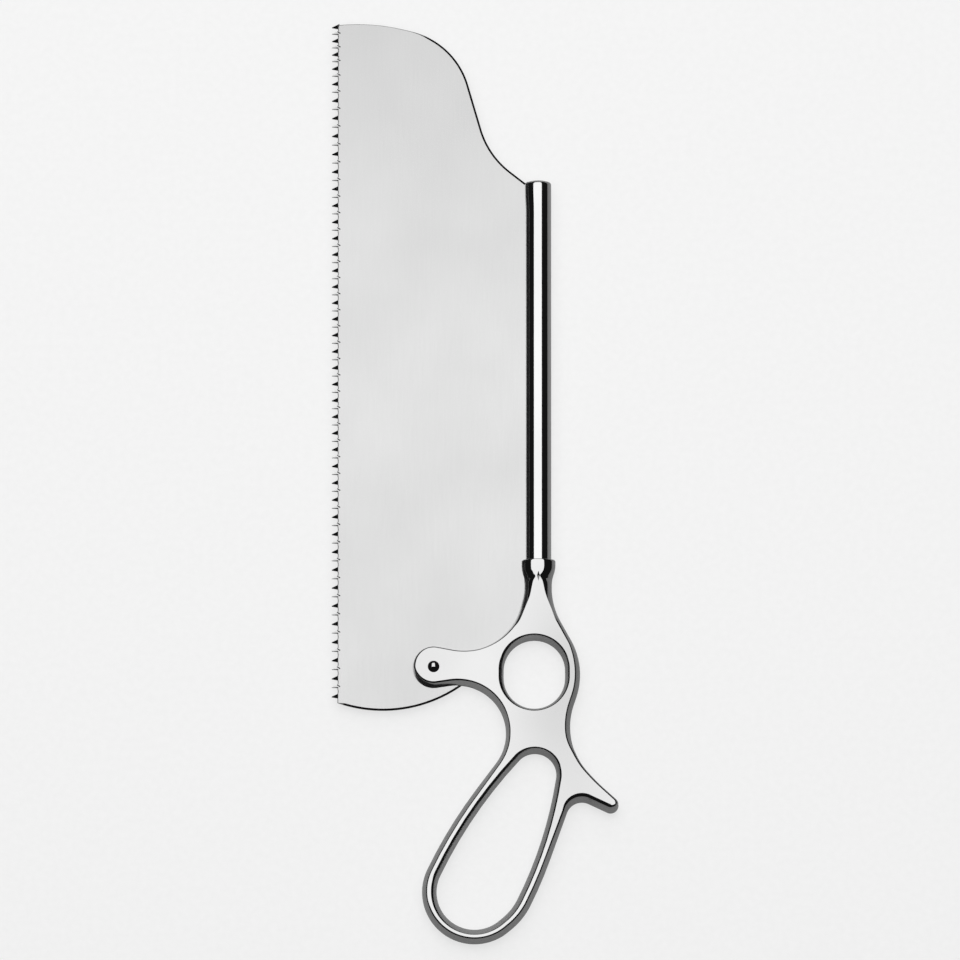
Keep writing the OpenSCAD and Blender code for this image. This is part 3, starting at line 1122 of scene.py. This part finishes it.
def table_tint(nodes, links, paper, path):
    """The table's lit grey, of which the picture keeps only a share."""
    tint = grey_ramp(nodes, TABLE_GREY)
    links.new(paper.outputs["Fac"], tint.inputs["Fac"])
    dim = nodes.new("ShaderNodeMixRGB")
    dim.blend_type = "MULTIPLY"
    dim.inputs["Color2"].default_value = (LIT_SHARE, LIT_SHARE, LIT_SHARE, 1)
    links.new(path.outputs["Is Camera Ray"], dim.inputs["Fac"])
    links.new(tint.outputs["Color"], dim.inputs["Color1"])
    return dim.outputs["Color"]


def table_glow(nodes, links, paper, path):
    """A glow for the picture, of which the metal mirrors only a share."""
    glow = nodes.new("ShaderNodeEmission")
    pale = grey_ramp(nodes, GLOW_GREY)
    links.new(paper.outputs["Fac"], pale.inputs["Fac"])
    links.new(pale.outputs["Color"], glow.inputs["Color"])
    mirrored = nodes.new("ShaderNodeMath")
    mirrored.operation = "MULTIPLY_ADD"
    mirrored.inputs[1].default_value = MIRRORED_SHARE
    links.new(path.outputs["Is Glossy Ray"], mirrored.inputs[0])
    links.new(path.outputs["Is Camera Ray"], mirrored.inputs[2])
    through = nodes.new("ShaderNodeMath")
    links.new(mirrored.outputs["Value"], through.inputs[0])
    links.new(path.outputs["Is Transmission Ray"], through.inputs[1])
    links.new(through.outputs["Value"], glow.inputs["Strength"])
    return glow.outputs["Emission"]


def table_material():
    """Pale paper that glows by itself in the picture and keeps a faint shadow."""
    material, nodes, links, shader = node_material("table")
    shader.inputs["Roughness"].default_value = TABLE_ROUGHNESS
    shader.inputs["Specular IOR Level"].default_value = TABLE_GLOSS
    coord = nodes.new("ShaderNodeTexCoord")
    paper = nodes.new("ShaderNodeTexNoise")
    paper.inputs["Scale"].default_value = PAPER_SCALE
    links.new(coord.outputs["Object"], paper.inputs["Vector"])
    path = nodes.new("ShaderNodeLightPath")
    links.new(table_tint(nodes, links, paper, path), shader.inputs["Base Color"])
    both = nodes.new("ShaderNodeAddShader")
    links.new(shader.outputs["BSDF"], both.inputs[0])
    links.new(table_glow(nodes, links, paper, path), both.inputs[1])
    links.new(both.outputs["Shader"], nodes["Material Output"].inputs["Surface"])
    return material


# Table, light and camera


def make_table():
    """A wide table just under the saw."""
    bm = bmesh.new()
    bmesh.ops.create_grid(bm, x_segments=1, y_segments=1, size=TABLE_HALF)
    mesh = bpy.data.meshes.new("table")
    bm.to_mesh(mesh)
    bm.free()
    mesh.materials.append(table_material())
    table = bpy.data.objects.new("table", mesh)
    bpy.context.collection.objects.link(table)
    table.location.z = TABLE_Z


def area_light(name, location, width, depth, radiance, mirrored):
    """A lamp that faces down, with its brightness as seen from below."""
    lamp = bpy.data.lights.new(name, "AREA")
    lamp.shape = "RECTANGLE"
    lamp.size = width
    lamp.size_y = depth
    lamp.energy = radiance * math.pi * width * depth
    holder = bpy.data.objects.new(name, lamp)
    holder.location = location
    holder.visible_glossy = mirrored
    bpy.context.collection.objects.link(holder)


def make_lights():
    """One wide softbox over the far side, and a plain lamp that the metal doesn't mirror."""
    left = -SOFTBOX_H * math.tan(SOFTBOX_LEFT)
    right = SOFTBOX_H * math.tan(SOFTBOX_RIGHT)
    near = -SOFTBOX_H * math.tan(SOFTBOX_NEAR)
    far = SOFTBOX_H * math.tan(SOFTBOX_FAR)
    middle = ((left + right) / 2, (near + far) / 2, SOFTBOX_H)
    area_light("softbox", middle, right - left, far - near, SOFTBOX_RADIANCE, True)
    area_light("fill", (0, 0, FILL_H), FILL_SIZE, FILL_SIZE, FILL_RADIANCE, False)


def make_room():
    """A room that is dark for all but the camera."""
    world = bpy.data.worlds.new("room")
    bpy.context.scene.world = world
    world.use_nodes = True
    nodes = world.node_tree.nodes
    links = world.node_tree.links
    path = nodes.new("ShaderNodeLightPath")
    seen = nodes.new("ShaderNodeMixRGB")
    seen.inputs["Color1"].default_value = (ROOM_GREY, ROOM_GREY, ROOM_GREY, 1)
    seen.inputs["Color2"].default_value = (SEEN_ROOM_GREY, SEEN_ROOM_GREY, SEEN_ROOM_GREY, 1)
    links.new(path.outputs["Is Camera Ray"], seen.inputs["Fac"])
    links.new(seen.outputs["Color"], nodes["Background"].inputs["Color"])


def make_camera():
    """A long lens far away, as the picture shows hardly any perspective."""
    camera = bpy.data.objects.new("camera", bpy.data.cameras.new("camera"))
    bpy.context.collection.objects.link(camera)
    camera.data.sensor_width = SENSOR
    camera.data.lens = LENS
    camera.data.clip_end = CLIP_END
    distance = PICTURE_W * LENS / SENSOR
    back = Vector((0, -math.sin(TILT), math.cos(TILT)))
    camera.location = place(*TARGET) + distance * back
    camera.rotation_euler = (TILT, 0, 0)
    bpy.context.scene.camera = camera
    bpy.context.scene.view_settings.view_transform = "Standard"


steel = metal(
    "polished_steel", STEEL_GREY, POLISHED, EVEN_GRAIN, POLISHED_RELIEF, SIDE_ROUGHNESS
)
# Painted shade: the handle's steel is darker round its palm
painted_palm_shade(steel)
chrome = metal("bright_steel", CHROME_GREY, POLISHED, EVEN_GRAIN, POLISHED_RELIEF)
satin = metal("satin_steel", SATIN_GREY, BRUSHED, LONG_GRAIN, BRUSHED_RELIEF)
# Painted shade: the blade's satin steel gets darker towards its tip
painted_tip_shade(satin)

handle = make_handle()
rod = make_rod()
pin = make_pin()
blade = make_blade()

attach(handle, "frame")
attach(rod, "frame")
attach(pin, "frame")
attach(blade, "blade")
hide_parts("handle")
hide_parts("back_rod")
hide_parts("pivot_pin")
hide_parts("blade")

make_table()
make_lights()
make_room()
make_camera()
